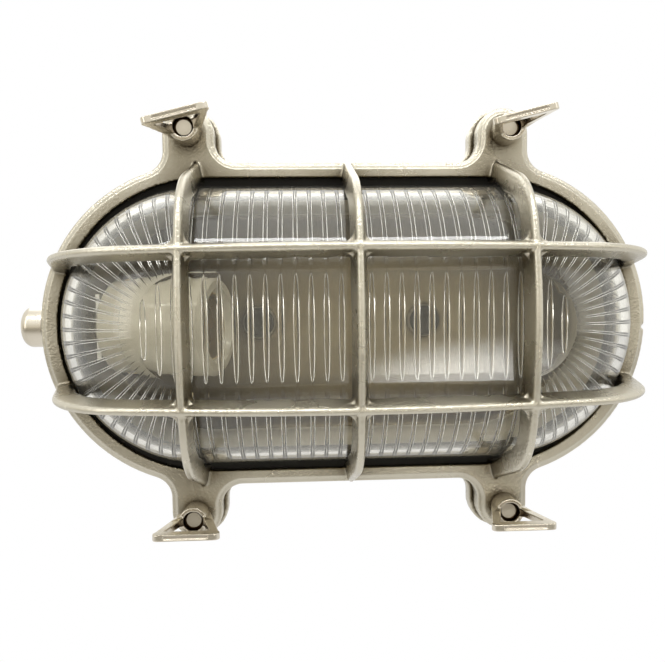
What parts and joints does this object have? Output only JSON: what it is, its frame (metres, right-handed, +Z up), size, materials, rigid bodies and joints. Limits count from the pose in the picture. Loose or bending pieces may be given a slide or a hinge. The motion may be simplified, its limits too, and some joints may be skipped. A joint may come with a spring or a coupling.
{
  "type": "bulkhead light",
  "caption": "Oblong cast wall light with a cage guard over a ribbed glass bowl, closed by thumb nuts on ears, with a lampholder inside and a cable gland at one end.",
  "frame": {"origin": "middle of the flat back face, on the wall", "axes": "+Z up, +X to the right seen from the front, the light faces -Y"},
  "size_m": [0.2678, 0.1093, 0.1802],
  "materials": {
    "cast_body": "satin nickel plate on cast brass",
    "plated_brass": "satin nickel plate",
    "bare_brass": "plain brass",
    "plated_steel": "zinc plate",
    "black_rubber": "matt rubber",
    "clear_glass": "clear pressed glass",
    "cream_ceramic": "cream glaze"
  },
  "bodies": {
    "base": {"base": "cast_body", "base_gasket": "black_rubber", "studs": "plated_brass", "lampholder": "cream_ceramic", "lampholder_shell": "bare_brass", "lampholder_contact": "bare_brass", "lampholder_bracket": "plated_steel", "holder_screws": "plated_steel", "bracket_screws": "plated_steel", "terminal_screws": "bare_brass", "earth_screw": "bare_brass", "gland_body": "plated_brass", "gland_nut": "plated_brass", "gland_seal": "black_rubber"},
    "front": {"guard": "cast_body", "guard_gasket": "black_rubber", "glass": "clear_glass"},
    "nut_tl": {"thumb_nut_tl": "plated_brass"},
    "nut_tr": {"thumb_nut_tr": "plated_brass"},
    "nut_bl": {"thumb_nut_bl": "plated_brass"},
    "nut_br": {"thumb_nut_br": "plated_brass"}
  },
  "joints": [
    {"name": "front_lift", "type": "slide", "parent": "base", "child": "front", "axis": [0, -1, 0], "range_m": [0, 0.07]},
    {"name": "nut_tl_turn", "type": "hinge", "parent": "front", "child": "nut_tl", "pos_m": [-0.0647, -0.0545, 0.0781], "axis": [0, -1, 0], "continuous": true},
    {"name": "nut_tr_turn", "type": "hinge", "parent": "front", "child": "nut_tr", "pos_m": [0.0647, -0.0545, 0.0781], "axis": [0, -1, 0], "continuous": true},
    {"name": "nut_bl_turn", "type": "hinge", "parent": "front", "child": "nut_bl", "pos_m": [-0.0647, -0.0545, -0.0781], "axis": [0, -1, 0], "continuous": true},
    {"name": "nut_br_turn", "type": "hinge", "parent": "front", "child": "nut_br", "pos_m": [0.0647, -0.0545, -0.0781], "axis": [0, -1, 0], "continuous": true}
  ]
}
